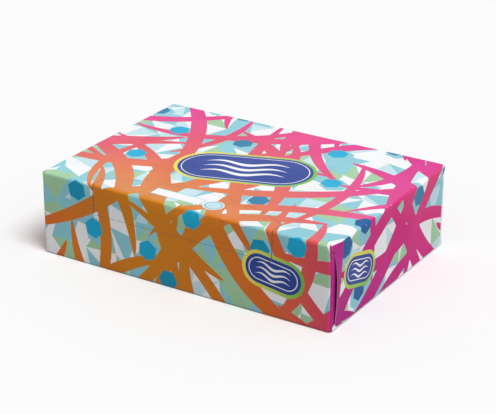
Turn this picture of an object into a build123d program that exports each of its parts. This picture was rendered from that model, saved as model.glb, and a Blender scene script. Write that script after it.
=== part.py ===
"""A sealed, full carton of facial tissues, with its tear outline unbroken.

One sheet of boxboard, folded and glued shut round its tissues, so it is one solid.
The origin is at the middle of the underside: +X along the length, +Y to the back, +Z up.
All sizes are in millimetres.
"""
import os
from math import ceil

from build123d import *

# Overall size over the folded board
length = 232.0
width = 161.0
height = 61.0

# The board, and the outside radius of its folds
board = 0.5
fold_radius = 1.6
upright_fold_radius = 2.0

# The flap of the top panel, glued on last, stands a little off the dust flaps under it
closure_slack = 0.2
hinge_relief = 1.8
shoulder_start = 3.5
shoulder_end = 7.0
outer_flap_inset = 6.0
outer_flap_clearance = 0.4
outer_flap_corner = 4.0

# The flap of the bottom panel, under it, is narrower and shorter
inner_flap_inset = 13.0
inner_flap_drop = 12.0

# Tear outline: a tray shape on the front panel, a shallow arch with shoulders on the top panel
mouth_length = 142.0
mouth_front_drop = 22.0
mouth_corner_radius = 2.5
mouth_side_run = 12.5
mouth_shoulder_run = 26.0
mouth_shoulder_rise = 13.0
mouth_crest_rise = 5.0
slit_width = 0.45
dash_length = 8.0
nick_length = 1.2

# The fold of the panel that tears out is soft, and most of all at its middle
soft_fold_radius = 4.5

# How far a cutting shape stands out of the surface that it cuts
overshoot = 1.0

# Places worked out from the sizes above
end_face = length / 2
inner_flap_face = end_face - board
dust_flap_face = inner_flap_face - closure_slack - board
front_face = -width / 2
lap_face = width / 2 - board
half_mouth = mouth_length / 2
hinge_root = dust_flap_face - upright_fold_radius
hinge_half_width = width / 2 - hinge_relief


def flap_outline(hinge_z, free_z, inset):
    """A flap as wide as its hinge at first, then stepped in by sloping shoulders."""
    towards_free = 1 if free_z > hinge_z else -1
    half_width = width / 2 - inset
    half = [
        (hinge_half_width, hinge_z),
        (hinge_half_width, hinge_z + towards_free * shoulder_start),
        (half_width, hinge_z + towards_free * shoulder_end),
        (half_width, free_z),
    ]
    with BuildLine() as outline:
        Polyline(*half, *[(-y, z) for y, z in reversed(half)], close=True)
    make_face(outline.edges())


def fold_waste(radius):
    """What a fold of this radius takes off the square corner between front and top panels."""
    with BuildLine() as outline:
        fold = TangentArc(
            (front_face + radius, height), (front_face, height - radius), tangent=(-1, 0)
        )
        Polyline(
            fold @ 1,
            (front_face - overshoot, height - radius),
            (front_face - overshoot, height + overshoot),
            (front_face + radius, height + overshoot),
            fold @ 0,
        )
    make_face(outline.edges())


def perforated(path):
    """A narrow slit along the path, left whole at evenly spaced nicks."""
    trace(path, slit_width)
    count = ceil(path.length / (dash_length + nick_length))
    with Locations(*[path @ (index / count) for index in range(1, count)]):
        Circle(nick_length / 2, mode=Mode.SUBTRACT)


# Both glued flaps of one end, each joined to its panel by a fold
with BuildPart() as end_closure:
    with BuildSketch(Plane.YZ.offset(inner_flap_face)) as outer_flap:
        outer_flap_edge = fold_radius + outer_flap_clearance
        flap_outline(height, outer_flap_edge, outer_flap_inset)
        fillet(outer_flap.vertices().group_by(Axis.Y)[0], outer_flap_corner)
    extrude(amount=board)
    with BuildSketch(Plane.YZ.offset(hinge_root)):
        with Locations((0, height)):
            Rectangle(2 * hinge_half_width, shoulder_start, align=(Align.CENTER, Align.MAX))
    extrude(amount=end_face - hinge_root)
    with BuildSketch(Plane.YZ.offset(hinge_root)):
        flap_outline(0, height - inner_flap_drop, inner_flap_inset)
    extrude(amount=inner_flap_face - hinge_root)
    top_fold = end_closure.edges().filter_by(Axis.Y).group_by(Axis.Z)[-1].sort_by(Axis.X)[-1]
    fillet(top_fold, fold_radius)
    low_fold = end_closure.edges().filter_by(Axis.Y).group_by(Axis.Z)[0].sort_by(Axis.X)[-1]
    fillet(low_fold, fold_radius)

# The wall, one board thick, that the tear line is cut through
with BuildPart() as wall:
    with BuildSketch(Plane.YZ.offset(-half_mouth - overshoot)):
        with Locations((0, height / 2)):
            RectangleRounded(width, height, fold_radius)
            RectangleRounded(width - 2 * board, height - 2 * board, fold_radius - board,
                             mode=Mode.SUBTRACT)
    extrude(amount=2 * (half_mouth + overshoot))

with BuildPart() as tear_line:
    with BuildSketch(Plane.XZ.offset(-front_face)):
        with BuildLine() as tray:
            FilletPolyline(
                (-half_mouth, height + overshoot),
                (-half_mouth, height - mouth_front_drop),
                (half_mouth, height - mouth_front_drop),
                (half_mouth, height + overshoot),
                radius=mouth_corner_radius,
            )
        perforated(tray.wire())
    extrude(amount=-fold_radius)
    with BuildSketch(Plane.XY.offset(height)):
        with BuildLine() as arch:
            corner = front_face + mouth_side_run
            crest_foot = half_mouth - mouth_shoulder_run
            right_side = FilletPolyline(
                (half_mouth, front_face - overshoot),
                (half_mouth, corner),
                (crest_foot, corner + mouth_shoulder_rise),
                radius=mouth_corner_radius,
            )
            mirror(right_side, about=Plane.YZ)
            ThreePointArc(
                (crest_foot, corner + mouth_shoulder_rise),
                (0, corner + mouth_shoulder_rise + mouth_crest_rise),
                (-crest_foot, corner + mouth_shoulder_rise),
            )
        perforated(arch.wire())
    extrude(amount=-fold_radius)
    add(wall.part, mode=Mode.INTERSECT)

with BuildPart() as carton:
    Box(2 * dust_flap_face, width, height, align=(Align.CENTER, Align.CENTER, Align.MIN))
    fillet(carton.edges().filter_by(Axis.Z), upright_fold_radius)
    fillet(carton.faces().filter_by(Axis.Z).edges(), fold_radius)

    # The glued lap along the lower back edge: the back panel ends over the fold of the bottom panel
    with BuildSketch(Plane.YZ):
        with BuildLine():
            lap_fold = TangentArc((lap_face - fold_radius, 0), (lap_face, fold_radius), tangent=(1, 0))
            Polyline(
                lap_fold @ 1,
                (width / 2 + overshoot, fold_radius),
                (width / 2 + overshoot, -overshoot),
                (lap_face - fold_radius, -overshoot),
                lap_fold @ 0,
            )
        make_face()
    extrude(amount=dust_flap_face + overshoot, both=True, mode=Mode.SUBTRACT)

    for x, radius in ((-half_mouth, fold_radius), (0, soft_fold_radius), (half_mouth, fold_radius)):
        with BuildSketch(Plane.YZ.offset(x)):
            fold_waste(radius)
    loft(mode=Mode.SUBTRACT)

    add(tear_line.part, mode=Mode.SUBTRACT)
    add(end_closure.part)
    mirror(end_closure.part, about=Plane.YZ)

carton.part.label = "carton"

os.makedirs("parts", exist_ok=True)
export_step(carton.part, "parts/carton.step")
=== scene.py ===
"""Dresses the sealed tissue carton: its printed blank is laid out flat, cut, and folded up.

The blank is measured in millimetres. s runs along the length, from the middle of the box, and
on over the flaps. g runs round the girth: 0 at the front top fold, up over the top panel and
down the back panel above 0, down the front panel and along the bottom panel below 0.
"""

import math
import random
from bisect import bisect_right

import bpy
from mathutils import Euler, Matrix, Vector
from mathutils.geometry import delaunay_2d_cdt


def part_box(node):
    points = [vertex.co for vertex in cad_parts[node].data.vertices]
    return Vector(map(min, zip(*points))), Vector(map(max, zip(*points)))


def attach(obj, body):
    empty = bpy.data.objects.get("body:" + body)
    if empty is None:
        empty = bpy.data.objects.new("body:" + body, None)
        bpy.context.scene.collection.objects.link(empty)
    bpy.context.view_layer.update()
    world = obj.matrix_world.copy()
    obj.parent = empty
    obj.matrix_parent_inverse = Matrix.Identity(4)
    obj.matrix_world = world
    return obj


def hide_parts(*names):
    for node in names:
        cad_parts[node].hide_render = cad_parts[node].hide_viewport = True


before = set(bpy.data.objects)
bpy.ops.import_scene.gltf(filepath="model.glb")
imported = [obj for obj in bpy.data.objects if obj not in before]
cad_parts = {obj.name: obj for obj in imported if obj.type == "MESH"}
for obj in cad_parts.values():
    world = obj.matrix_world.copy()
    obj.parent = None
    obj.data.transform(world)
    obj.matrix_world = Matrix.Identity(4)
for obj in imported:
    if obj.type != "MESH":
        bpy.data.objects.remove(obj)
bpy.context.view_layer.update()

MM = 0.001
NODE = "carton"
BODY = "root"

# Size of the box, from the frame
box_low, box_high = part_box(NODE)
length, width, height = [(high - low) / MM for low, high in zip(box_low, box_high)]
half_width = width / 2

# Board, folds and end closure, as in the model
board = 0.5
fold_radius = 1.6
upright_radius = 2.0
closure_slack = 0.2
hinge_relief = 1.8
shoulder_start = 3.5
shoulder_end = 7.0
outer_inset = 6.0
outer_clearance = 0.4
inner_inset = 13.0
inner_drop = 12.0
flap_corner = 4.0
lap_width = 14.0
lap_side_reach = 2.0
dust_reach = 10.5

# Play between layers that would touch, how far shapes of the blank lap over each other, and
# the slack for places that lie on an edge
play = 0.05
overlap = 1.0
hair = 0.001

# Tear outline, as in the model
mouth_half = 71.0
mouth_front_drop = 22.0
mouth_side_run = 12.5
mouth_shoulder_run = 26.0
mouth_shoulder_rise = 13.0
mouth_crest_rise = 5.0
dash_length = 8.0
nick_length = 1.2
side_slit = 0.65
cross_slit = 0.28
crest_steps = 8

# How the end flaps give: pulled in where they are glued, lifted and bowed at their free sides
flap_pull = 0.5
glued_below_top = (2.0, 22.0)
glued_above_bottom = (2.0, 14.0)
flap_margin = 14.0
margin_pull = 0.6
margin_curl = 0.7
margin_bow = 1.8
bow_start = 12.0
bow_reach = 5.0
back_lift = 0.4
swell_fullness = 0.8
give_full_before = 0.4
dust_lean = 1.3
dust_lean_span = (-1.0, 8.0)

# How far corners and the left end's upper fold are pushed in, and over which distances
corner_squash = 1.1
corner_squash_elsewhere = 0.27
left_fold_squash = 0.85
squash_across = 17.0
squash_down = (18.0, 1.0)
squash_along = (14.0, 2.0)

# How the panels waver: depth, lengths and phases of the waves, and the still margin
panel_waver = 0.25
waver_share = 0.5
waver_along = (31.0, 1.3)
waver_round = (23.0, 0.4)
waver_slant = (17.0, 41.0)
waver_margin = 24.0

# How the soft fold of the tear-out panel is pressed in
mouth_sag = 1.1
mouth_sag_reach = 7.0
sag_ripple = 0.3
sag_ripple_along = (9.0, 0.8)

# Wear, against that of the upper folds of the ends
long_fold_wear = 0.4
upright_fold_wear = 0.3
wear_core = 0.4
wear_reach = 2.4

# Inks in display colours, as on the sheet under plain white light
inks = {
    "white": (246, 247, 249),
    "pale_aqua": (200, 231, 238),
    "aqua": (144, 206, 218),
    "sage": (166, 208, 166),
    "navy": (20, 94, 154),
    "steel": (44, 128, 170),
    "teal": (16, 152, 188),
    "sky": (22, 174, 216),
    "blue": (44, 70, 152),
    "bleed": (190, 32, 140),
}

# The rim of a plate runs from yellow at its left to green at its right
rim_stops = ((0.0, (246, 230, 96)), (1.0, (118, 192, 84)))

# The ramps that the strokes run along: ochre, orange, coral and pink on the panels, and pink,
# magenta and purple on the right end
stroke_stops = (
    (0.0, (214, 134, 22)),
    (0.25, (224, 109, 40)),
    (0.5, (226, 76, 98)),
    (0.75, (231, 60, 142)),
    (1.0, (220, 34, 142)),
)
end_stops = (
    (0.0, (232, 68, 124)),
    (0.41, (215, 12, 126)),
    (0.6, (203, 8, 127)),
    (1.0, (172, 8, 130)),
)

# Where a stroke is on its ramp: by its place along the length, and by how far back it is
ramp_start = 0.05
ramp_along = 0.15
ramp_along_squared = 0.35
ramp_back = 0.72
end_ramp_front = 0.56
end_ramp_down = 0.44

# Painted sheen: strokes are paled towards white on the top, a painted stand-in for the glossy
# haze of light on it, by these shares at its back and at its front. This and the change to the
# ramp of the ends come in over a short run
painted_top_sheen = (0.01, 0.07)
ink_blend = 4.0

# Mosaic of the print, with the shares of its inks on the upper and on the front panels
print_seed = 2
mosaic_cell = 17.0
mosaic_shake = 5.5
mosaic_inks = ("white", "pale_aqua", "aqua", "sage")
upper_shares = (0.42, 0.18, 0.28, 0.12)
front_shares = (0.34, 0.10, 0.28, 0.28)

# Rows of strokes: heading in degrees, gap between rows, ranges of width and of length, and
# range of bend in radians
stroke_rows = (
    (33, 42.0, (8.5, 14.0), (140.0, 230.0), (0.6, 1.7)),
    (-57, 42.0, (8.5, 14.5), (130.0, 220.0), (0.6, 1.8)),
    (84, 70.0, (6.5, 10.0), (90.0, 150.0), (0.8, 1.8)),
)
field_reach = 300.0
stroke_step = 4.0
stroke_fullness = 0.62
stroke_overlap = 0.66
stroke_tip = 0.02
row_shake = 5.0
heading_shake = 0.2

# Hexagons, how far their middles keep from strokes and from each other, and their shadows
hexagon_gap = 25.0
hexagon_radius = 7.7
hexagon_shake = 5.0
hexagon_clearance = 2.5
top_hexagons_apart = 52.0
other_hexagons_apart = 24.0
top_hexagon_inks = ("steel", "sky")
front_hexagon_inks = ("teal", "sky")
end_hexagon_inks = ("navy", "steel")
shadow_radius = 1.35 * hexagon_radius
shadow_shift = (3, -2)

# Bare plates: place along the length and up or back on their panel, sides and turn in degrees
top_plate = (1, -1, 96, 46, 18)
front_plate = (72, 31, 42, 21, -8)
end_plate = (31, -44, 38, 19, 74)
plate_rim = 2.6
plate_line_inset = 2.4
plate_line = 0.7
band_share = 0.62
band_levels = (-0.19, 0.0, 0.19)
band_wave = 0.06
band_waves = 1.5
band_half = 0.045
band_tip = 0.02

# A bare label strip on the top panel with a pale disc at its end
label_middle = (-11, -65.5)
label_sides = (38.0, 9.0)
label_edge = 0.6
disc_middle = (17, -65.5)
disc_rings = (("white", 7.4), ("aqua", 6.6), ("pale_aqua", 5.2))
disc_sides = 28

# Where the plain ink of the front small flaps starts, and the bare white of the other ones
bleed_start = 114.2
bare_start = 113.4

# Plain ink on the front margin of the right outer flap: widths and heights of its two ends
margin_ink_top = 13.5
margin_ink_low = 6.0
margin_ink_below_top = 1
margin_ink_end = 7
margin_steps = 12

# Widest triangles of the flat board, of its folds and of its upright folds
flat_gap = 7.5
fold_gap = 0.45
upright_gap = 0.9
merge_distance = 1e-4

# Margin of the map for baking, as a share of its side
map_edge = 0.005

# Noises of the boards: waves a metre and detail
print_cloud = (42.0, 3.0)
print_grain = (1500.0, 4.0)
print_rub = (520.0, 5.0)
print_patch = (60.0, 2.0)
raw_fibre = (900.0, 6.0)
raw_cloud = (70.0, 3.0)

# What they do: range of the noise that counts, and range of what it sets
tint_range = (0.3, 0.7, 0.0, 0.06)
speck_range = (0.62, 0.78, 0.0, 0.06)
rub_range = (0.60, 0.68, 0.0, 1.0)
patch_range = (0.54, 0.62, 0.0, 1.0)
satin_range = (0.3, 0.7, 0.36, 0.46)
fibre_range = (0.35, 0.65, 0.0, 1.0)
blotch_range = (0.4, 0.7, 0.0, 0.35)
raw_range = (0.3, 0.7, 0.78, 0.92)
scuff_strength = 0.75
cloud_relief = 3.0

# Roughness and specular level of the boards and the floor
print_finish = (0.42, 0.12)
raw_finish = (0.85, 0.2)
floor_finish = (0.9, 0.0)

# Linear colours of the boards
tint_colour = (0.10, 0.07, 0.06, 1.0)
speck_colour = (0.92, 0.92, 0.90, 1.0)
scuff_colour = (0.86, 0.85, 0.82, 1.0)
dark_fibre = (0.34, 0.32, 0.29, 1.0)
light_fibre = (0.47, 0.45, 0.41, 1.0)
blotch_colour = (0.39, 0.36, 0.31, 1.0)

# Relief of their surfaces, in metres
bump_strength = 0.6
print_relief = 0.00003
raw_relief = 0.00008

# Studio
floor_half = 4.0
floor_colour = (0.93, 0.93, 0.93, 1.0)
floor_bounce = (0.36, 0.36, 0.37, 1.0)
sky_colour = (1.0, 1.0, 1.0, 1.0)
sky_strength = 0.45
backdrop_strength = 1.0
sun_direction = Vector((0.32, -0.12, 0.56))
sun_strength = 2.2
sun_angle = math.radians(28)

# Camera, fitted to the corners of the box in the photo
camera_place = Vector((0.5725, -0.9093, 0.5037))
camera_azimuth = math.radians(32.073)
camera_elevation = math.radians(23.730)
camera_roll = math.radians(0.088)
camera_lens = 121.8
camera_sensor = 36.0

# Places worked out from the sizes above
end_face = length / 2
inner_face = end_face - board
dust_face = inner_face - closure_slack - board
corner_start = dust_face - upright_radius
hinge_half = half_width - hinge_relief
quarter = fold_radius * math.pi / 2
flap_edge = fold_radius + outer_clearance


# The path round the girth

def girth_runs():
    """Each run of the girth: its name, length, and whether it turns, in the order of g."""
    return (
        ("lap", lap_width, False),
        ("lap_fold", quarter, True),
        ("bottom", width - 2 * fold_radius - board, False),
        ("front_low_fold", quarter, True),
        ("front", height - 2 * fold_radius, False),
        ("front_fold", quarter, True),
        ("top", width - 2 * fold_radius, False),
        ("back_fold", quarter, True),
        ("back", height - 2 * fold_radius, False),
    )


def walk_girth():
    """Where each run starts: its g, its place and its outward direction."""
    runs = girth_runs()
    front_fold = [name for name, _, _ in runs].index("front_fold")
    g = -sum(run[1] for run in runs[:front_fold]) - quarter / 2
    place = Vector((half_width - board, fold_radius + lap_width))
    outward = Vector((1.0, 0.0))
    stations = []
    for name, run_length, turns in runs:
        stations.append((g, name, turns, place.copy(), outward.copy()))
        ahead = Vector((outward.y, -outward.x))
        if turns:
            centre = place - outward * fold_radius
            outward = ahead
            place = centre + outward * fold_radius
        else:
            place = place + ahead * run_length
        g += run_length
    return stations, g


stations, g_high = walk_girth()
station_starts = [station[0] for station in stations]
g_low = station_starts[0]
g_of = {name: g for g, name, _, _, _ in stations}


def girth(g):
    """Run name, place and outward direction at g, on the outside of the board."""
    index = min(max(bisect_right(station_starts, g) - 1, 0), len(stations) - 1)
    start, name, turns, place, outward = stations[index]
    along = g - start
    if not turns:
        return name, place + Vector((outward.y, -outward.x)) * along, outward
    angle = along / fold_radius
    facing = outward * math.cos(angle) + Vector((outward.y, -outward.x)) * math.sin(angle)
    return name, place - outward * fold_radius + facing * fold_radius, facing


def top_g(y):
    """g of a line on the top panel."""
    return g_of["top"] + y + half_width - fold_radius


def bottom_g(y):
    """g of a line on the bottom panel."""
    return g_of["bottom"] + half_width - board - fold_radius - y


def front_g(z):
    """g of a line on the front panel."""
    return g_of["front"] + z - fold_radius


def outer_s(z):
    """s of a line across the flap of the top panel."""
    return end_face - fold_radius + quarter + height - fold_radius - z


def inner_s(z):
    """s of a line across the flap of the bottom panel."""
    return inner_face - fold_radius + quarter + z - fold_radius


# How far the blank reaches along its length, with a little to spare
s_reach = outer_s(flap_edge) + overlap


# Folding the blank up

def smooth(value, low, high):
    """0 below low, 1 above high, and an even ramp between them."""
    t = min(max((value - low) / (high - low), 0.0), 1.0)
    return t * t * (3 - 2 * t)


def fold_over(along, plane, depth):
    """Run out and then down over a fold: distance out, and distance in from the panel."""
    angle = along / fold_radius
    if angle < math.pi / 2:
        inner = fold_radius - depth
        return (plane - fold_radius + inner * math.sin(angle),
                fold_radius - inner * math.cos(angle))
    return plane - depth, fold_radius + along - quarter


def swell(z):
    """0 at the ends of a flap's free side, and 1 where it stands off most."""
    share = min(max(z / (height - shoulder_end), 0), 1)
    return max(math.sin(math.pi * share), 0) ** swell_fullness


def flap_give(y, z, is_outer):
    """How far a glued flap moves along the length, and across, from its plane.

    It is pulled in at its glued middle. The outer one lifts at its free sides, which bow.
    """
    pulled = smooth(height - z, *glued_below_top) * smooth(z, *glued_above_bottom)
    if not is_outer:
        return -flap_pull * pulled - play, 0.0
    side = half_width - outer_inset - abs(y)
    at_margin = 1 - smooth(side, 0, flap_margin)
    lift = swell(z) * (1.0 if y < 0 else back_lift)
    middle = -flap_pull * pulled * (1 - at_margin)
    edge = -margin_pull * (1 - lift) * at_margin
    bow = margin_bow * (1 - lift) * smooth(height - z, shoulder_start, bow_start)
    across = (margin_curl * lift - bow) * (1 - smooth(side, 0, bow_reach))
    return middle + edge, -across if y > 0 else across


def squashed(place):
    """Pushes in the upper corners, the front right one most, and the left end's upper fold."""
    is_blunt = place.x > 0 and place.y < 0
    at_corner = smooth(abs(place.y), half_width - squash_across, half_width)
    amount = at_corner * (corner_squash if is_blunt else corner_squash_elsewhere)
    if place.x < 0:
        amount += (1 - at_corner) * left_fold_squash
    amount *= smooth(place.z, *[height - reach for reach in squash_down])
    amount *= smooth(abs(place.x), *[end_face - reach for reach in squash_along])
    place.x -= math.copysign(amount, place.x)
    return place


def panel_give(s, g, name):
    """A slow waver of the big panels, inwards only, and none of it at their folds."""
    start = g_of[name]
    reach = width if name in ("top", "bottom") else height
    away = min(g - start, start + reach - 2 * fold_radius - g, corner_start - abs(s))
    wave = math.sin(s / waver_along[0] + waver_along[1])
    wave *= math.sin(g / waver_round[0] + waver_round[1])
    wave += math.sin(s / waver_slant[0] - g / waver_slant[1])
    return -panel_waver * (1 + waver_share * wave) * smooth(away, 0, waver_margin)


def mouth_give(s, g):
    """The soft front fold of the tear-out panel is pressed in, most near its middle."""
    if abs(s) > mouth_half or abs(g) > mouth_sag_reach:
        return 0.0
    ripple = sag_ripple * math.sin(s / sag_ripple_along[0] + sag_ripple_along[1])
    dent = math.cos(math.pi * s / (2 * mouth_half)) ** 2 * (1 + ripple)
    return mouth_sag * dent * (1 - (g / mouth_sag_reach) ** 2) ** 2


def folded_flap(end, reach, y, depth, is_outer):
    """Place of a point of the top or bottom flap, or of the strip of panel it hinges on."""
    plane = end_face if is_outer else inner_face
    start = plane - fold_radius
    x, drop = reach, depth
    if reach > start:
        x, drop = fold_over(reach - start, plane, depth)
        along, across = flap_give(y, height - drop if is_outer else drop, is_outer)
        x += along * smooth(x, corner_start, plane - give_full_before)
        y += across
    return Vector((end * x, y, height - drop if is_outer else drop))


def folded_corner(end, reach, y, z):
    """Place of a point of the front or back panel that has gone past its upright fold."""
    side = 1 if y > 0 else -1
    out = upright_radius - (half_width - abs(y))
    angle = (reach - corner_start) / upright_radius
    if angle < math.pi / 2:
        x = corner_start + out * math.sin(angle)
        across = out * math.cos(angle)
    else:
        across = -(angle - math.pi / 2) * upright_radius
        x = corner_start + out - dust_lean * smooth(-across, *dust_lean_span) * swell(z)
    return Vector((end * x, side * (half_width - upright_radius + across), z))


def folded(s, g, depth):
    """Place in the folded carton, in millimetres, of a point of the blank under its print."""
    name, place, outward = girth(g)
    end = 1 if s > 0 else -1
    reach = abs(s)
    y, z = place.x, place.y
    if name in ("top", "bottom") and reach > corner_start and abs(y) < hinge_half + hair:
        return squashed(folded_flap(end, reach, y, depth, name == "top"))
    give = panel_give(s, g, name) if name in ("top", "front", "back") else 0.0
    sag = mouth_give(s, g) * math.sqrt(0.5)
    y += outward.x * (give - depth) + sag
    z += outward.y * (give - depth) - sag
    if reach <= corner_start:
        return squashed(Vector((s, y, z)))
    return squashed(folded_corner(end, reach, y, z))


# Outline of the blank

def rounded(corner, before, after, radius, steps=5):
    """Points of an arc in place of a corner, near enough to a circle."""
    corner, before, after = Vector(corner), Vector(before), Vector(after)
    first = corner + (before - corner).normalized() * radius
    last = corner + (after - corner).normalized() * radius
    points = []
    for step in range(steps + 1):
        t = step / steps
        points.append(first * (1 - t) ** 2 + corner * 2 * t * (1 - t) + last * t ** 2)
    return [tuple(point) for point in points]


def flap_blank(to_g, to_s, free_z, fold_z, inset):
    """A major flap with the strip of panel that it hinges on."""
    sign = 1 if fold_z > free_z else -1
    side = half_width - inset
    half = [
        (corner_start - overlap, hinge_half),
        (to_s(fold_z - sign * shoulder_start), hinge_half),
        (to_s(fold_z - sign * shoulder_end), side),
    ]
    half += rounded((to_s(free_z), side), half[-1], (to_s(free_z), 0), flap_corner)
    points = [(s, to_g(y)) for s, y in half]
    points += [(s, to_g(-y)) for s, y in reversed(half)]
    return points


def margin(to_g, side, steps=6):
    """Edge of the board beside a hinge strip, from the strip outwards to the fold."""
    still = upright_radius - hinge_relief
    under = fold_radius - math.sqrt(fold_radius ** 2 - (fold_radius - board - play) ** 2)
    g_fold = to_g(side * (half_width - fold_radius))
    outwards = 1 if to_g(side * half_width) > g_fold else -1
    points = [(corner_start - overlap, to_g(side * hinge_half))]
    for step in range(steps + 1):
        inset = hinge_relief + (fold_radius - hinge_relief) * step / steps
        angle = math.acos(min(still / (upright_radius - inset), 1.0))
        points.append((corner_start + upright_radius * angle, to_g(side * (half_width - inset))))
    for step in range(1, steps + 1):
        inset = fold_radius + (under - fold_radius) * step / steps
        angle = math.acos(still / (upright_radius - inset))
        turn = math.pi / 2 - math.acos(min((fold_radius - inset) / fold_radius, 1.0))
        points.append((corner_start + upright_radius * angle,
                       g_fold + outwards * turn * fold_radius))
    last = corner_start + upright_radius * math.pi / 2 + dust_reach
    points.append((last, points[-1][1]))
    return points


def dust_blank(side):
    """Dust flap of the front or back panel, with its folds and the margins of its neighbours."""
    upper = margin(top_g, side)
    if side > 0:
        return upper + [(upper[-1][0], g_high), (corner_start - overlap, g_high)]
    return upper + margin(bottom_g, side)[::-1]


def lap_blank():
    """The glued lap at the end of the bottom panel, where it stands beside the hinge strip."""
    # Its side follows the first points of the margin, and then runs straight
    beside = margin(bottom_g, 1)[:4]
    reach = corner_start + lap_side_reach
    low_end = [(reach, g_low), (corner_start - overlap, g_low)]
    return beside + [(reach, beside[-1][1])] + low_end


def blank_outline():
    """Polygons whose union is the blank."""
    panels = [
        flap_blank(top_g, outer_s, flap_edge, height, outer_inset),
        flap_blank(bottom_g, inner_s, height - inner_drop, 0, inner_inset),
        dust_blank(-1),
        dust_blank(1),
        lap_blank(),
    ]
    body = [(-corner_start, g_low), (corner_start, g_low), (corner_start, g_high),
            (-corner_start, g_high)]
    return [body] + panels + [[(-s, g) for s, g in panel] for panel in panels]


# Tear line

def dashes(path, slit):
    """Slits along a path of points, parted by nicks."""
    legs = [(Vector(b) - Vector(a)).length for a, b in zip(path, path[1:])]
    total = sum(legs)
    count = max(1, round(total / (dash_length + nick_length)))

    def point_at(distance):
        for (a, b), leg in zip(zip(path, path[1:]), legs):
            if distance <= leg:
                return Vector(a).lerp(Vector(b), distance / leg), (Vector(b) - Vector(a)) / leg
            distance -= leg
        return Vector(path[-1]), (Vector(path[-1]) - Vector(path[-2])).normalized()

    marks = [0.0]
    for leg in legs:
        marks.append(marks[-1] + leg)
    slits = []
    for index in range(count):
        first = total * index / count + nick_length / 2
        last = total * (index + 1) / count - nick_length / 2
        stops = [first] + [mark for mark in marks if first < mark < last] + [last]
        left, right = [], []
        for stop in stops:
            place, ahead = point_at(stop)
            across = Vector((-ahead.y, ahead.x)) * slit / 2
            left.append(tuple(place + across))
            right.append(tuple(place - across))
        slits.append(left + right[::-1])
    return slits


def tear_slits():
    """The two sides of the tear-out panel, its straight front edge and its arch on the top."""
    low = front_g(height - mouth_front_drop)
    shoulder = top_g(-half_width + mouth_side_run)
    foot = mouth_half - mouth_shoulder_run
    rise = shoulder + mouth_shoulder_rise
    crest = [(s, rise + mouth_crest_rise * (1 - (s / foot) ** 2))
             for s in (foot - step * foot / crest_steps for step in range(2 * crest_steps + 1))]
    arch = [(mouth_half, shoulder)] + crest + [(-mouth_half, shoulder)]
    slits = dashes(arch, cross_slit)
    slits += dashes([(-mouth_half, low), (mouth_half, low)], cross_slit)
    for side in (-1, 1):
        slits += dashes([(side * mouth_half, low), (side * mouth_half, shoulder)], side_slit)
    return slits


# Print: a made-up pattern of wavy ribbons over a mosaic, with small hexagons and bare plates

def turned(points, centre, angle):
    """Points measured from a centre, turned by an angle in degrees, as places on the blank."""
    c = math.cos(math.radians(angle))
    s = math.sin(math.radians(angle))
    return [(centre[0] + x * c - y * s, centre[1] + x * s + y * c) for x, y in points]


def polygon(radius, sides):
    """An even polygon about nought."""
    angles = [2 * math.pi * side / sides for side in range(sides)]
    return [(radius * math.cos(angle), radius * math.sin(angle)) for angle in angles]


def stadium(long_side, short_side, steps=20):
    """A bar with round ends about nought."""
    radius = short_side / 2
    straight = long_side / 2 - radius
    points = []
    for end, start_angle in ((1, -math.pi / 2), (-1, math.pi / 2)):
        for step in range(steps + 1):
            angle = start_angle + math.pi * step / steps
            points.append((end * straight + radius * math.cos(angle), radius * math.sin(angle)))
    return points


def mosaic(rng):
    """A loose mosaic of triangles in pale colours, the rest left white."""
    columns = int((2 * s_reach) / mosaic_cell) + 1
    rows = int((g_high - g_low) / mosaic_cell) + 2
    corners = {}
    for column in range(columns + 1):
        for row in range(rows + 1):
            shake_s = rng.uniform(-mosaic_shake, mosaic_shake)
            shake_g = rng.uniform(-mosaic_shake, mosaic_shake)
            corners[column, row] = (-s_reach + column * mosaic_cell + shake_s,
                                    g_low + row * mosaic_cell + shake_g)
    tiles = []
    for column in range(columns):
        for row in range(rows):
            a, b = corners[column, row], corners[column + 1, row]
            c, d = corners[column + 1, row + 1], corners[column, row + 1]
            halves = ((a, b, c), (a, c, d)) if rng.random() < 0.5 else ((a, b, d), (b, c, d))
            shares = upper_shares if a[1] > 0 else front_shares
            for half in halves:
                ink = rng.choices(mosaic_inks, shares)[0]
                if ink != "white":
                    tiles.append((ink, list(half)))
    return tiles


def stroke(start, heading, reach, bend, thickness):
    """Steps of a bent brush stroke: place, heading and half its width, thin at both ends."""
    place = Vector(start)
    count = int(reach / stroke_step)
    steps = []
    for step in range(count + 1):
        t = step / count
        angle = heading + bend * (t - 0.5)
        half = thickness / 2 * max(math.sin(math.pi * t), 0.0) ** stroke_fullness
        steps.append((place.copy(), angle, half))
        place = place + Vector((math.cos(angle), math.sin(angle))) * stroke_step
    return steps


def ribbon(steps):
    """Outline of a stroke."""
    left, right = [], []
    for place, angle, half in steps:
        aside = Vector((-math.sin(angle), math.cos(angle))) * (half + stroke_tip)
        left.append(tuple(place + aside))
        right.append(tuple(place - aside))
    return right + left[::-1]


def strokes(rng):
    """Rows of strokes in several directions, which cross each other."""
    drawn = []
    middle = Vector((0, (g_low + g_high) / 2))
    for heading, gap, widths, reaches, bends in stroke_rows:
        heading = math.radians(heading)
        ahead = Vector((math.cos(heading), math.sin(heading)))
        across = Vector((-ahead.y, ahead.x))
        rows = int(field_reach / gap)
        for row in range(-rows, rows + 1):
            run = -field_reach + rng.uniform(0, reaches[0] / 2)
            while run < field_reach:
                reach = rng.uniform(*reaches)
                aside = row * gap + rng.uniform(-row_shake, row_shake)
                turn = heading + rng.uniform(-heading_shake, heading_shake)
                bend = rng.choice((-1, 1)) * rng.uniform(*bends)
                start = middle + across * aside + ahead * run
                drawn.append(stroke(start, turn, reach, bend, rng.uniform(*widths)))
                run += reach * stroke_overlap
    return drawn


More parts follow.
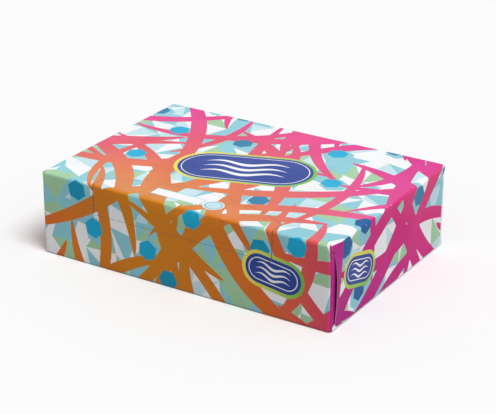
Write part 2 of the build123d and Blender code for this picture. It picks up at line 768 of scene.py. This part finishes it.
def is_clear(place, drawn, kept, apart):
    """Whether a place keeps clear of every stroke and of the hexagons that are there."""
    if any((other - place).length < apart for other in kept):
        return False
    for steps in drawn:
        for middle, _, half in steps:
            if (middle - place).length_squared < (half + hexagon_clearance) ** 2:
                return False
    return True


def hexagon_rule(s, g):
    """The two inks that a hexagon here may have, and how far it keeps from the others."""
    if abs(s) > corner_start:
        return end_hexagon_inks, other_hexagons_apart
    if g < 0:
        return front_hexagon_inks, other_hexagons_apart
    return top_hexagon_inks, (top_hexagons_apart if g < width else other_hexagons_apart)


def hexagons(rng, drawn):
    """Hexagons in the gaps between the strokes, and the paler shadow under each."""
    kept, shadows, tops = [], [], []
    rows = int((g_high - g_low) / hexagon_gap) + 1
    columns = int(2 * s_reach / hexagon_gap) + 1
    for row in range(rows):
        for column in range(columns):
            s = -s_reach + (column + 0.5 * (row % 2)) * hexagon_gap
            s += rng.uniform(-hexagon_shake, hexagon_shake)
            g = g_low + row * hexagon_gap + rng.uniform(-hexagon_shake, hexagon_shake)
            angle = rng.uniform(0, 60)
            two_inks, apart = hexagon_rule(s, g)
            ink = rng.choice(two_inks)
            if is_clear(Vector((s, g)), drawn, kept, apart):
                kept.append(Vector((s, g)))
                under = (s + shadow_shift[0], g + shadow_shift[1])
                shadows.append(("aqua", turned(polygon(shadow_radius, 6), under, angle)))
                tops.append((ink, turned(polygon(hexagon_radius, 6), (s, g), angle)))
    return shadows, tops


def bar(low_s, high_s, low_g, high_g):
    """A plain rectangle."""
    return [(low_s, low_g), (high_s, low_g), (high_s, high_g), (low_s, high_g)]


def bleeds():
    """The small flaps: the front ones in plain ink, the others in bare white."""
    front = (g_of["front_low_fold"], top_g(-hinge_half))
    bottom = (g_of["bottom"] - quarter, g_of["front_low_fold"])
    back = (top_g(hinge_half), g_high)
    drawn = [
        ("bleed", bar(bleed_start, s_reach, *front)),
        ("stroke", bar(-s_reach, -bleed_start, *front)),
    ]
    for low, high in (bottom, back):
        drawn.append(("white", bar(bare_start, s_reach, low, high)))
        drawn.append(("white", bar(-s_reach, -bare_start, low, high)))
    return drawn + [("bleed", flap_margin_ink())]


def flap_margin_ink():
    """Plain ink on the front margin of the right outer flap, broad above and narrow below."""
    edge = top_g(-half_width)
    start = height - margin_ink_below_top
    points = [(outer_s(height), edge)]
    for step in range(margin_steps + 1):
        t = step / margin_steps
        wide = margin_ink_low + (margin_ink_top - margin_ink_low) * math.cos(math.pi / 2 * t)
        points.append((outer_s(start - t * (start - margin_ink_end)), top_g(-half_width + wide)))
    points.append((outer_s(flap_edge), edge))
    return points


def plates():
    """Place on the blank, sides and turn of each plate."""
    s, y, *top_form = top_plate
    front_s, z, *front_form = front_plate
    flap_z, flap_y, *end_form = end_plate
    return (
        ((s, top_g(y)), *top_form),
        ((front_s, front_g(z)), *front_form),
        ((outer_s(flap_z), top_g(flap_y)), *end_form),
    )


def plate(centre, long_side, short_side, angle):
    """A bare blue plate with a green rim, a white line inside it and plain wavy bands."""
    shapes = [
        ("rim", stadium(long_side + 2 * plate_rim, short_side + 2 * plate_rim)),
        ("blue", stadium(long_side, short_side)),
        ("white", stadium(long_side - 2 * plate_line_inset, short_side - 2 * plate_line_inset)),
    ]
    inside = plate_line_inset + plate_line
    shapes.append(("blue", stadium(long_side - 2 * inside, short_side - 2 * inside)))
    shapes += [("white", band(long_side, short_side, level)) for level in band_levels]
    return [(ink, turned(points, centre, angle)) for ink, points in shapes]


def band(long_side, short_side, level, steps=30):
    """A wavy band, thick in its middle, at a level across its plate."""
    upper, lower = [], []
    for step in range(steps + 1):
        t = step / steps
        run = band_share * long_side * (t - 0.5)
        rise = short_side * (level + band_wave * math.sin(2 * math.pi * band_waves * t))
        swelling = math.sin(math.pi * (band_tip + (1 - 2 * band_tip) * t))
        half = short_side * band_half * swelling
        upper.append((run, rise + half))
        lower.append((run, rise - half))
    return lower + upper[::-1]


def label():
    """The bare label strip and its disc."""
    s, y = label_middle
    long_half, short_half = label_sides[0] / 2, label_sides[1] / 2
    shapes = []
    for ink, edge in (("aqua", label_edge), ("white", 0.0)):
        shapes.append((ink, bar(s - long_half - edge, s + long_half + edge,
                                top_g(y - short_half - edge), top_g(y + short_half + edge))))
    place = (disc_middle[0], top_g(disc_middle[1]))
    for ink, radius in disc_rings:
        shapes.append((ink, turned(polygon(radius, disc_sides), place, 0)))
    return shapes


def artwork():
    """All shapes of the print, in the order of printing."""
    rng = random.Random(print_seed)
    shapes = mosaic(rng)
    drawn = strokes(rng)
    shadows, tops = hexagons(rng, drawn)
    shapes += shadows + [("stroke", ribbon(steps)) for steps in drawn] + tops + bleeds()
    for place, long_side, short_side, angle in plates():
        shapes += plate(place, long_side, short_side, angle)
    return shapes + label()


def in_linear(red, green, blue):
    """Linear colour from an 8-bit display colour."""
    def channel(value):
        value /= 255
        return value / 12.92 if value <= 0.04045 else ((value + 0.055) / 1.055) ** 2.4
    return Vector((channel(red), channel(green), channel(blue)))


def along_ramp(stops, t):
    """Colour at t on a ramp of colours."""
    for (low, first), (high, second) in zip(stops, stops[1:]):
        if t <= high:
            return first.lerp(second, (t - low) / (high - low))
    return stops[-1][1]


def stroke_ink(s, g):
    """Ochre in front, coral at its right, pink at the back, purple on the right end."""
    along = min(max(s / end_face, -1.0), 1.0)
    back = max(g, 0.0) / width
    beside = ramp_along * along + ramp_along_squared * along ** 2
    ink = along_ramp(linear_stops, ramp_start + beside + ramp_back * back)
    # Painted sheen: on the top the ink is mixed towards white, most by its front, in place of
    # glossy light on it
    least, most = painted_top_sheen
    sheen_share = (most + (least - most) * min(back, 1.0)) * smooth(g, 0, ink_blend)
    ink = ink.lerp(linear_inks["white"], sheen_share)
    down = max(s - corner_start, 0.0) / height
    end_ink = along_ramp(linear_ends, end_ramp_front * (1 - back) + end_ramp_down * down)
    return ink.lerp(end_ink, smooth(s, corner_start, corner_start + ink_blend))


def rim_ink(s, g):
    """The rim ramp over the plate that is nearest."""
    place, long_side = min(plate_spans, key=lambda span: (span[0] - Vector((s, g))).length)
    return along_ramp(linear_rim, min(max(0.5 + (s - place.x) / long_side, 0.0), 1.0))


linear_inks = {name: in_linear(*colour) for name, colour in inks.items()}
linear_stops = [(t, in_linear(*colour)) for t, colour in stroke_stops]
linear_ends = [(t, in_linear(*colour)) for t, colour in end_stops]
linear_rim = [(t, in_linear(*colour)) for t, colour in rim_stops]
plate_spans = [(Vector(place), long_side) for place, long_side, _, _ in plates()]


def ink_at(name, s, g):
    """Linear colour of an ink at a place of the blank."""
    if name == "stroke":
        return stroke_ink(s, g)
    return rim_ink(s, g) if name == "rim" else linear_inks[name]


# Flat triangles of the blank

def grid_stops(low, high, gap):
    """Even stops from low to high, no further apart than the gap."""
    count = max(1, math.ceil((high - low) / gap))
    return [low + (high - low) * index / count for index in range(count + 1)]


def crease_lines():
    """Lines over the blank where it may bend: close together at the folds."""
    across = []
    for (start, _, turns, _, _), (end, _, _, _, _) in zip(stations, stations[1:]):
        across += grid_stops(start, end, fold_gap if turns else flat_gap)
    across += grid_stops(stations[-1][0], g_high, flat_gap)
    along = grid_stops(0, corner_start, flat_gap)
    along += grid_stops(corner_start, corner_start + upright_radius * math.pi / 2, upright_gap)
    for plane in (inner_face, end_face):
        along += grid_stops(plane - fold_radius, plane - fold_radius + quarter, fold_gap)
    along += grid_stops(along[-1], s_reach, flat_gap)
    along = sorted(along)
    along = [-s for s in along[::-1]] + along
    lines = [((-s_reach, g), (s_reach, g)) for g in across]
    lines += [((s, g_low), (s, g_high)) for s in along]
    return lines


def wound(points):
    """The points in the order that turns left."""
    area = sum(a[0] * b[1] - b[0] * a[1] for a, b in zip(points, points[1:] + points[:1]))
    return points if area > 0 else points[::-1]


def flat_blank():
    """Points of the flat blank, its triangles, and the ink of each."""
    sheets = blank_outline()
    slits = tear_slits()
    shapes = artwork()
    points, faces, edges = [], [], []
    for outline in sheets + slits + [points_of for _, points_of in shapes]:
        outline = wound(outline)
        faces.append(list(range(len(points), len(points) + len(outline))))
        points += outline
    for line in crease_lines():
        edges.append((len(points), len(points) + 1))
        points += line
    places, _, triangles, _, _, sources = delaunay_2d_cdt(
        [Vector(point) for point in points], edges, faces, 1, merge_distance, True
    )
    first_slit = len(sheets)
    first_shape = first_slit + len(slits)
    kept, kept_inks = [], []
    for triangle, source in zip(triangles, sources):
        is_board = min(source, default=first_slit) < first_slit
        if not is_board or any(first_slit <= index < first_shape for index in source):
            continue
        top = max(source)
        kept.append(triangle)
        kept_inks.append(shapes[top - first_shape][0] if top >= first_shape else "white")
    return places, kept, kept_inks


# The folded piece

def wear_at(s, g):
    """1 on the upper folds of the ends, less on the other folds, and 0 away from them."""
    name, _, _ = girth(g)
    long_folds = ("front_low_fold", "front_fold", "back_fold")
    away = min(abs(g - g_of[fold] - quarter / 2) for fold in long_folds)
    wear = long_fold_wear * (1 - smooth(away, wear_core, wear_reach))
    if name == "top":
        away = abs(abs(s) - (end_face - fold_radius + quarter / 2))
        return max(wear, 1 - smooth(away, wear_core, wear_reach))
    away = abs(abs(s) - (corner_start + upright_radius * math.pi / 4))
    return max(wear, upright_fold_wear * (1 - smooth(away, wear_core, wear_reach)))


def lay_map(mesh, spots, cut):
    """A map of the piece: the print laid flat, the lining beside it, and rows of cut edges."""
    count = len(spots)
    scale = (1 - 2 * map_edge) / (g_high - g_low)
    beside = 2 * map_edge + 2 * s_reach * scale
    small = (1 - map_edge - beside) / (2 * s_reach)
    places = []
    for face in mesh.polygons[:len(mesh.polygons) - len(cut)]:
        for index in face.vertices:
            on_lining = index >= count
            spot = spots[index - count] if on_lining else spots[index]
            size = small if on_lining else scale
            places += ((beside if on_lining else map_edge) + (spot.x + s_reach) * size,
                       map_edge + (spot.y - g_low) * size)
    left = beside
    low = 2 * map_edge + (g_high - g_low) * small
    thick = board * scale
    for a, b in cut:
        run = (spots[a] - spots[b]).length * scale
        if left + run > 1 - map_edge:
            left = beside
            low += 2 * thick
        places += (left + run, low, left, low, left, low + thick, left + run, low + thick)
        left += run
    layer = mesh.uv_layers.new(name="OFBake")
    layer.uv.foreach_set("vector", places)


def cut_edges(faces):
    """Edges that only one triangle has, each as its triangle runs along it."""
    runs = dict.fromkeys((a, b) for face in faces for a, b in zip(face, face[1:] + face[:1]))
    return [(a, b) for a, b in runs if (b, a) not in runs]


def paint(mesh, spots, triangle_inks):
    """Lays the inks and the wear of the folds on the mesh."""
    ink = mesh.color_attributes.new("ink", "FLOAT_COLOR", "CORNER")
    for face, name in zip(mesh.polygons, triangle_inks):
        for loop in face.loop_indices:
            spot = spots[mesh.loops[loop].vertex_index]
            ink.data[loop].color = (*ink_at(name, spot.x, spot.y), 1.0)
    wear = mesh.attributes.new("wear", "FLOAT", "POINT")
    wear.data.foreach_set("value", [wear_at(spot.x, spot.y) for spot in spots] * 2)


def folded_piece():
    """The carton as one mesh: the blank folded up, with its inside and its cut edges."""
    flat, triangles, triangle_inks = flat_blank()
    used = sorted({index for triangle in triangles for index in triangle})
    number = {index: order for order, index in enumerate(used)}
    spots = [flat[index] for index in used]
    outside = [folded(spot.x, spot.y, 0.0) * MM for spot in spots]
    inside = [folded(spot.x, spot.y, board) * MM for spot in spots]
    count = len(spots)
    faces = [[number[index] for index in triangle] for triangle in triangles]
    cut = cut_edges(faces)
    linings = [[count + index for index in reversed(face)] for face in faces]
    rims = [(b, a, count + a, count + b) for a, b in cut]
    mesh = bpy.data.meshes.new("carton")
    mesh.from_pydata(outside + inside, [], faces + linings + rims)
    for index, face in enumerate(mesh.polygons):
        face.use_smooth = index < 2 * len(faces)
        face.material_index = 0 if index < len(faces) else 1
    edge_of = {tuple(sorted(edge.vertices)): edge for edge in mesh.edges}
    for a, b in cut:
        edge_of[tuple(sorted((a, b)))].use_edge_sharp = True
        edge_of[tuple(sorted((count + a, count + b)))].use_edge_sharp = True
    paint(mesh, spots, triangle_inks)
    lay_map(mesh, spots, cut)
    mesh.validate()
    piece = bpy.data.objects.new("printed_carton", mesh)
    bpy.context.scene.collection.objects.link(piece)
    return piece


# Materials

def new_material(name, roughness, specular):
    """An empty material: itself, its nodes, its links and its shader."""
    material = bpy.data.materials.new(name)
    material.use_nodes = True
    nodes = material.node_tree.nodes
    shader = nodes["Principled BSDF"]
    shader.inputs["Roughness"].default_value = roughness
    shader.inputs["Specular IOR Level"].default_value = specular
    return material, nodes, material.node_tree.links, shader


def noise(nodes, links, place, scale, detail):
    """A noise of so many waves a metre, over the piece's own coordinates."""
    texture = nodes.new("ShaderNodeTexNoise")
    texture.inputs["Scale"].default_value = scale
    texture.inputs["Detail"].default_value = detail
    links.new(place, texture.inputs["Vector"])
    return texture.outputs["Fac"]


def ranged(nodes, links, value, from_low, from_high, to_low, to_high):
    """The value moved from one range to another and held there."""
    node = nodes.new("ShaderNodeMapRange")
    node.interpolation_type = "SMOOTHSTEP"
    node.inputs["From Min"].default_value = from_low
    node.inputs["From Max"].default_value = from_high
    node.inputs["To Min"].default_value = to_low
    node.inputs["To Max"].default_value = to_high
    links.new(value, node.inputs["Value"])
    return node.outputs["Result"]


def maths(nodes, links, operation, first, second):
    """Two values joined by an operation; a number may stand for the second."""
    node = nodes.new("ShaderNodeMath")
    node.operation = operation
    links.new(first, node.inputs[0])
    if isinstance(second, float):
        node.inputs[1].default_value = second
    else:
        links.new(second, node.inputs[1])
    return node.outputs["Value"]


def mixed(nodes, links, factor, first, second):
    """Two colours mixed by a factor; a plain colour may stand for either."""
    node = nodes.new("ShaderNodeMix")
    node.data_type = "RGBA"
    links.new(factor, node.inputs["Factor"])
    for socket, colour in ((node.inputs[6], first), (node.inputs[7], second)):
        if isinstance(colour, tuple):
            socket.default_value = colour
        else:
            links.new(colour, socket)
    return node.outputs[2]


def seen_rays(nodes, links):
    """1 for rays of the camera, of reflections and through clear things, and 0 for the rest."""
    path = nodes.new("ShaderNodeLightPath")
    seen = maths(nodes, links, "MAXIMUM", path.outputs["Is Camera Ray"],
                 path.outputs["Is Glossy Ray"])
    return maths(nodes, links, "MAXIMUM", seen, path.outputs["Is Transmission Ray"])


def bumped(nodes, links, shader, height_value, distance):
    """Lets a height raise the surface by up to a distance in metres."""
    bump = nodes.new("ShaderNodeBump")
    bump.inputs["Strength"].default_value = bump_strength
    bump.inputs["Distance"].default_value = distance
    links.new(height_value, bump.inputs["Height"])
    links.new(bump.outputs["Normal"], shader.inputs["Normal"])


def printed_board():
    """Coated white board under inks and a satin varnish, rubbed on its folds."""
    material, nodes, links, shader = new_material("printed_board", *print_finish)
    place = nodes.new("ShaderNodeTexCoord").outputs["Object"]
    ink = nodes.new("ShaderNodeAttribute")
    ink.attribute_name = "ink"
    wear = nodes.new("ShaderNodeAttribute")
    wear.attribute_name = "wear"
    cloud = noise(nodes, links, place, *print_cloud)
    grain = noise(nodes, links, place, *print_grain)
    rub = noise(nodes, links, place, *print_rub)
    patch = noise(nodes, links, place, *print_patch)

    # The inks lie a little unevenly
    tint = ranged(nodes, links, cloud, *tint_range)
    uneven = mixed(nodes, links, tint, ink.outputs["Color"], tint_colour)
    speck = ranged(nodes, links, grain, *speck_range)
    speckled = mixed(nodes, links, speck, uneven, speck_colour)

    # Scuffs show the white board on folds, in patches
    rubbed = ranged(nodes, links, rub, *rub_range)
    patches = ranged(nodes, links, patch, *patch_range)
    scuff = maths(nodes, links, "MULTIPLY", rubbed, wear.outputs["Fac"])
    scuff = maths(nodes, links, "MULTIPLY", scuff, patches)
    scuff = maths(nodes, links, "MULTIPLY", scuff, scuff_strength)
    colour = mixed(nodes, links, scuff, speckled, scuff_colour)
    links.new(colour, shader.inputs["Base Color"])

    # The varnish is satin, duller where it is rubbed, over fine fibres
    satin = ranged(nodes, links, cloud, *satin_range)
    links.new(maths(nodes, links, "ADD", satin, scuff), shader.inputs["Roughness"])
    waves = maths(nodes, links, "MULTIPLY", cloud, cloud_relief)
    bumped(nodes, links, shader, maths(nodes, links, "ADD", grain, waves), print_relief)
    return material


def raw_board():
    """The grey inside and the cut edges of the board, uncoated."""
    material, nodes, links, shader = new_material("raw_board", *raw_finish)
    place = nodes.new("ShaderNodeTexCoord").outputs["Object"]
    fibre = noise(nodes, links, place, *raw_fibre)
    cloud = noise(nodes, links, place, *raw_cloud)
    shade = ranged(nodes, links, fibre, *fibre_range)
    fibres = mixed(nodes, links, shade, dark_fibre, light_fibre)
    blotch = ranged(nodes, links, cloud, *blotch_range)
    colour = mixed(nodes, links, blotch, fibres, blotch_colour)
    links.new(colour, shader.inputs["Base Color"])
    links.new(ranged(nodes, links, fibre, *raw_range), shader.inputs["Roughness"])
    bumped(nodes, links, shader, fibre, raw_relief)
    return material


def studio_floor():
    """A plain pale floor, which sends less light up than the camera sees on it."""
    material, nodes, links, shader = new_material("studio_floor", *floor_finish)
    colour = mixed(nodes, links, seen_rays(nodes, links), floor_bounce, floor_colour)
    links.new(colour, shader.inputs["Base Color"])
    return material


def make_floor():
    """The floor under the box."""
    mesh = bpy.data.meshes.new("floor")
    corners = [(-floor_half, -floor_half, 0), (floor_half, -floor_half, 0),
               (floor_half, floor_half, 0), (-floor_half, floor_half, 0)]
    mesh.from_pydata(corners, [], [(0, 1, 2, 3)])
    floor = bpy.data.objects.new("floor", mesh)
    bpy.context.scene.collection.objects.link(floor)
    mesh.materials.append(studio_floor())


def make_light():
    """An even sky and one large, soft lamp high on the right."""
    world = bpy.data.worlds.new("studio")
    bpy.context.scene.world = world
    world.use_nodes = True
    nodes, links = world.node_tree.nodes, world.node_tree.links
    seen = seen_rays(nodes, links)
    strength = ranged(nodes, links, seen, 0.0, 1.0, sky_strength, backdrop_strength)
    nodes["Background"].inputs["Color"].default_value = sky_colour
    links.new(strength, nodes["Background"].inputs["Strength"])
    sun = bpy.data.lights.new("soft_lamp", "SUN")
    sun.energy = sun_strength
    sun.angle = sun_angle
    lamp = bpy.data.objects.new("soft_lamp", sun)
    lamp.rotation_euler = sun_direction.to_track_quat("Z", "Y").to_euler()
    bpy.context.scene.collection.objects.link(lamp)


def make_camera():
    """The camera at the photo's angle."""
    data = bpy.data.cameras.new("camera")
    data.sensor_width = camera_sensor
    data.lens = camera_lens
    camera = bpy.data.objects.new("camera", data)
    camera.location = camera_place
    turn = Euler((math.pi / 2 - camera_elevation, 0, camera_azimuth))
    turn.rotate_axis("Z", camera_roll)
    camera.rotation_euler = turn
    bpy.context.scene.collection.objects.link(camera)
    bpy.context.scene.camera = camera


make_camera()
make_light()
make_floor()
carton = folded_piece()
carton.data.materials.append(printed_board())
carton.data.materials.append(raw_board())
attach(carton, BODY)
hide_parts(NODE)
bpy.context.scene.view_settings.view_transform = "Standard"
